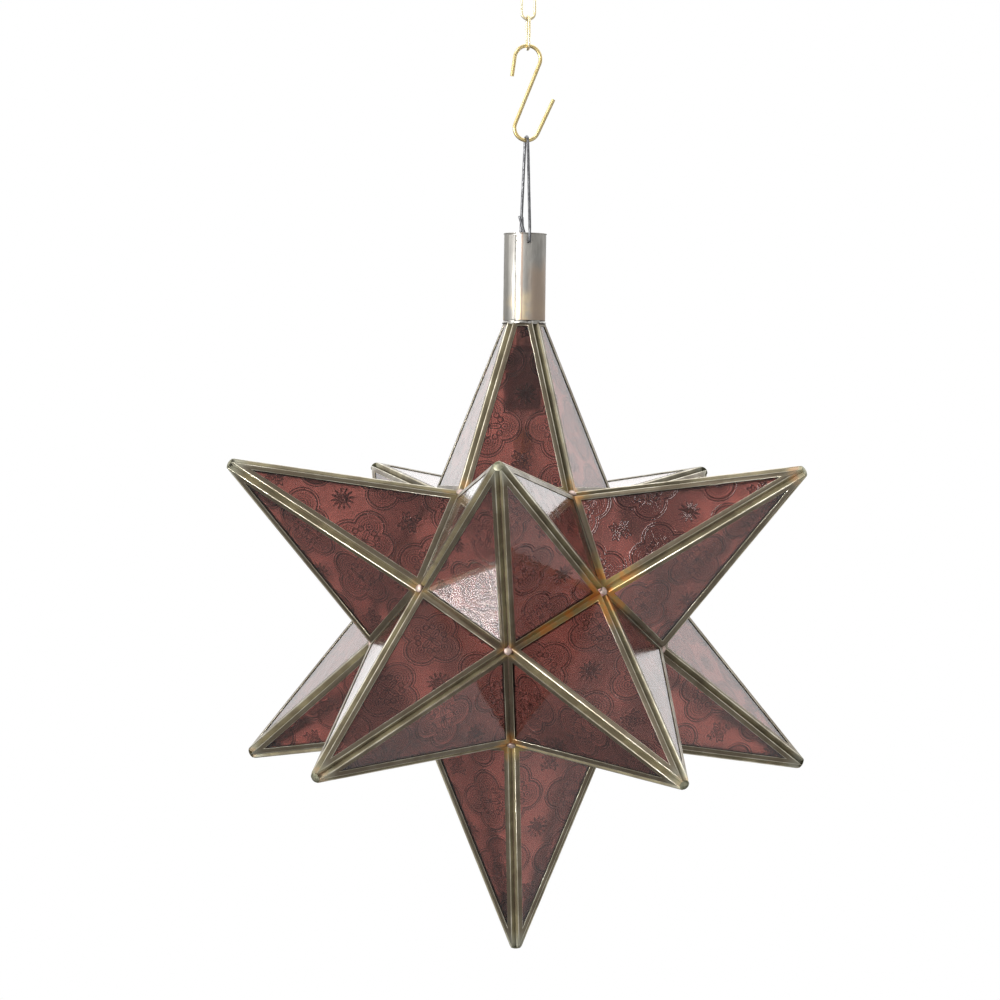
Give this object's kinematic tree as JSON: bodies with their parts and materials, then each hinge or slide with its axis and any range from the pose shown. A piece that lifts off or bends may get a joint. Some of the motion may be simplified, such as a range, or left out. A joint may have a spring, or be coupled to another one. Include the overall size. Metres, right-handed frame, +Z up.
{
  "type": "moravian star pendant",
  "caption": "Star lantern of framed embossed glass spikes on a collar, hung by a wire hanger and S-hook from a chain, with a small screw lamp inside and a hinged access pane.",
  "frame": {"origin": "the point inside the top chain link where the ceiling hook bears", "axes": "+Z up along the plumb line; X across the top link and the S-hook; Y through the collar holes, -Y towards the front"},
  "size_m": [0.411, 0.3982, 0.6636],
  "materials": {
    "pane_glass": "burgundy glass, embossed on the outside",
    "came": "antiqued",
    "solder": "dull, stained",
    "collar_metal": "tinned, heat tinted",
    "hanger_wire": "satin",
    "hook_brass": "polished",
    "chain_brass": "polished",
    "door_fittings": "satin",
    "pipe_steel": "zinc plated",
    "grip_plastic": "matt",
    "holder_shell": "gloss",
    "holder_ceramic": "glazed",
    "contact_brass": "bright",
    "lamp_cap_metal": "satin",
    "lamp_insulator": "gloss",
    "lamp_globe": "clear",
    "lamp_inside": "clear",
    "lamp_filament": "coated"
  },
  "bodies": {
    "top_link": {"upper_chain_link": "chain_brass"},
    "lower_link": {"lower_chain_link": "chain_brass"},
    "hook": {"s_hook": "hook_brass"},
    "bail": {"hanger": "hanger_wire"},
    "door": {"door_came": "came", "door_glass": "pane_glass", "hinge_door_leaf": "door_fittings", "door_pull": "door_fittings"},
    "catch": {"catch_tab": "door_fittings"},
    "star": {"bottom_spike_came": "came", "bottom_spike_glass": "pane_glass", "catch_rivet": "door_fittings", "centre_contact": "contact_brass", "collar": "collar_metal", "collar_lap": "collar_metal", "cord_grip": "grip_plastic", "cross_plate": "collar_metal", "door_stops": "door_fittings", "grip_screw": "pipe_steel", "hinge_fixed_leaves": "door_fittings", "hinge_pin": "door_fittings", "holder_body": "holder_shell", "holder_cap": "holder_shell", "holder_core": "holder_ceramic", "lamp_cap": "lamp_cap_metal", "lamp_contact": "lamp_cap_metal", "lamp_filament": "lamp_filament", "lamp_glass": "lamp_globe", "lamp_insulator": "lamp_insulator", "lamp_pipe": "pipe_steel", "lamp_stem": "lamp_inside", "lower_spike_1_came": "came", "lower_spike_1_glass": "pane_glass", "lower_spike_2_came": "came", "lower_spike_2_glass": "pane_glass", "lower_spike_3_came": "came", "lower_spike_3_glass": "pane_glass", "lower_spike_4_came": "came", "lower_spike_4_glass": "pane_glass", "lower_spike_5_came": "came", "lower_spike_5_glass": "pane_glass", "neck_solder": "solder", "pipe_nuts": "pipe_steel", "screw_shell": "contact_brass", "terminal_screws": "contact_brass", "tip_solder": "solder", "top_spike_came": "came", "top_spike_glass": "pane_glass", "upper_spike_1_came": "came", "upper_spike_1_glass": "pane_glass", "upper_spike_2_came": "came", "upper_spike_2_glass": "pane_glass", "upper_spike_3_came": "came", "upper_spike_3_glass": "pane_glass", "upper_spike_4_came": "came", "upper_spike_4_glass": "pane_glass", "upper_spike_5_came": "came", "upper_spike_5_glass": "pane_glass", "valley_solder": "solder"}
  },
  "joints": [
    {"name": "lower_link_swing", "type": "hinge", "parent": "top_link", "child": "lower_link", "pos_m": [0, 0, -0.02195], "axis": [1, 0, 0], "range_deg": [-60, 60]},
    {"name": "hook_swing", "type": "hinge", "parent": "lower_link", "child": "hook", "pos_m": [0, 0, -0.04265], "axis": [0, 1, 0], "range_deg": [-60, 60]},
    {"name": "bail_swing", "type": "hinge", "parent": "hook", "child": "bail", "pos_m": [0, 0, -0.1053], "axis": [1, 0, 0], "range_deg": [-60, 60]},
    {"name": "star_swing", "type": "hinge", "parent": "bail", "child": "star", "pos_m": [0, 0, -0.1757], "axis": [0, 1, 0], "range_deg": [-35, 35]},
    {"name": "door_hinge", "type": "hinge", "parent": "star", "child": "door", "pos_m": [-0.00538, 0.10275, -0.43264], "axis": [0.8495, 0.0445, 0.5257], "range_deg": [0, 95]},
    {"name": "catch_turn", "type": "hinge", "parent": "star", "child": "catch", "pos_m": [0.04674, 0.1597, -0.48715], "axis": [0.7007, 0.4677, 0.5388], "range_deg": [0, 90]}
  ]
}
